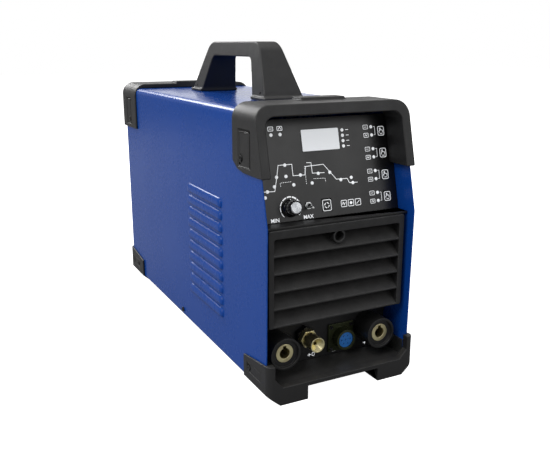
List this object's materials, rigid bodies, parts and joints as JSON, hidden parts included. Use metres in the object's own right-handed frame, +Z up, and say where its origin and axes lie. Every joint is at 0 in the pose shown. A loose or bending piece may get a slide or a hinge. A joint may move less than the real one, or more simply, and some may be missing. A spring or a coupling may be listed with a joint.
{
  "type": "tig welding machine",
  "caption": "Portable inverter TIG welder: blue sheet-steel case with black corner guards, carry handle, tilted control panel, louvred grille and front sockets.",
  "frame": {"origin": "on the ground under the middle of the machine's bounding box", "axes": "+X right seen from the front, front faces -Y, +Z up"},
  "size_m": [0.206, 0.56, 0.41],
  "materials": {
    "blue_paint": "gloss",
    "black_sheet": "satin",
    "zinc_plate": "satin",
    "black_plastic": "matte, fine texture",
    "panel_foil": "printed polyester foil",
    "window_grey": "gloss",
    "lamp_white": "gloss",
    "knob_black": "gloss",
    "spun_aluminium": "spun",
    "steel": "satin",
    "screw_black": "black oxide",
    "brass": "satin",
    "olive_alloy": "satin",
    "blue_insert": "satin",
    "red_rocker": "gloss",
    "board_green": "satin",
    "heatsink": "satin",
    "winding": "varnished",
    "can_blue": "sleeved",
    "copper": "satin",
    "hose_black": "matte"
  },
  "bodies": {
    "case": {"cover_shell": "blue_paint", "base_pan": "zinc_plate", "front_bulkhead": "black_sheet", "control_bezel": "black_plastic", "control_overlay": "panel_foil", "front_grille": "black_plastic", "top_front_guard": "black_plastic", "bottom_front_guard": "black_plastic", "top_rear_guard": "black_plastic", "bottom_rear_guard": "black_plastic", "rear_panel": "black_sheet", "handle": "black_plastic", "handle_end_caps": "black_plastic", "handle_screws": "steel", "guard_screws": "screw_black", "cover_screws": "screw_black", "grille_screw": "screw_black", "display_window": "window_grey", "display_module": "black_plastic", "status_leds": "lamp_white", "potentiometer": "steel", "toggle_switch_body": "steel", "control_board": "board_green", "output_collars": "black_plastic", "output_socket_left": "brass", "output_socket_right": "brass", "socket_nuts": "brass", "torch_gas_connector": "brass", "gas_connector_nut": "steel", "remote_socket_shell": "olive_alloy", "remote_socket_insert": "blue_insert", "remote_socket_screws": "screw_black", "power_switch_body": "black_plastic", "cable_gland": "black_plastic", "gland_nut": "black_plastic", "gas_inlet_barb": "brass", "fan_frame": "black_plastic", "fan_guard": "zinc_plate", "fan_screws": "steel", "ground_stud": "brass", "gas_valve": "brass", "gas_hose": "hose_black", "power_board": "board_green", "heatsinks": "heatsink", "main_transformer": "winding", "output_inductor": "winding", "capacitors": "can_blue", "bus_bars": "copper", "hf_coil": "winding"},
    "control_knob": {"control_knob": "knob_black", "knob_cap": "spun_aluminium", "knob_shaft": "steel"},
    "menu_button": {"menu_button": "panel_foil"},
    "mode_button_1": {"mode_button_1": "panel_foil"},
    "mode_button_2": {"mode_button_2": "panel_foil"},
    "mode_button_3": {"mode_button_3": "panel_foil"},
    "mode_button_4": {"mode_button_4": "panel_foil"},
    "toggle_lever": {"toggle_lever": "steel"},
    "power_rocker": {"power_switch_rocker": "red_rocker"},
    "fan_rotor": {"fan_rotor": "black_plastic"}
  },
  "joints": [
    {"name": "knob_turn", "type": "hinge", "parent": "case", "child": "control_knob", "pos_m": [-0.0529, -0.23917, 0.22376], "axis": [0, -0.9711, 0.2385], "range_deg": [-150, 150]},
    {"name": "menu_press", "type": "slide", "parent": "case", "child": "menu_button", "axis": [0, 0.9711, -0.2385], "range_m": [0, 0.0008], "stiffness_N_per_m": 900, "springref_m": -0.0006},
    {"name": "mode_press_1", "type": "slide", "parent": "case", "child": "mode_button_1", "axis": [0, 0.9711, -0.2385], "range_m": [0, 0.0008], "stiffness_N_per_m": 900, "springref_m": -0.0006},
    {"name": "mode_press_2", "type": "slide", "parent": "case", "child": "mode_button_2", "axis": [0, 0.9711, -0.2385], "range_m": [0, 0.0008], "stiffness_N_per_m": 900, "springref_m": -0.0006},
    {"name": "mode_press_3", "type": "slide", "parent": "case", "child": "mode_button_3", "axis": [0, 0.9711, -0.2385], "range_m": [0, 0.0008], "stiffness_N_per_m": 900, "springref_m": -0.0006},
    {"name": "mode_press_4", "type": "slide", "parent": "case", "child": "mode_button_4", "axis": [0, 0.9711, -0.2385], "range_m": [0, 0.0008], "stiffness_N_per_m": 900, "springref_m": -0.0006},
    {"name": "toggle_flip", "type": "hinge", "parent": "case", "child": "toggle_lever", "pos_m": [-0.0296, -0.23952, 0.22446], "axis": [-1, 0, 0], "range_deg": [0, 30]},
    {"name": "mains_rock", "type": "hinge", "parent": "case", "child": "power_rocker", "pos_m": [-0.058, 0.2585, 0.298], "axis": [1, 0, 0], "range_deg": [0, 20]},
    {"name": "fan_spin", "type": "hinge", "parent": "case", "child": "fan_rotor", "pos_m": [0, 0.244, 0.205], "axis": [0, 1, 0], "continuous": true}
  ]
}
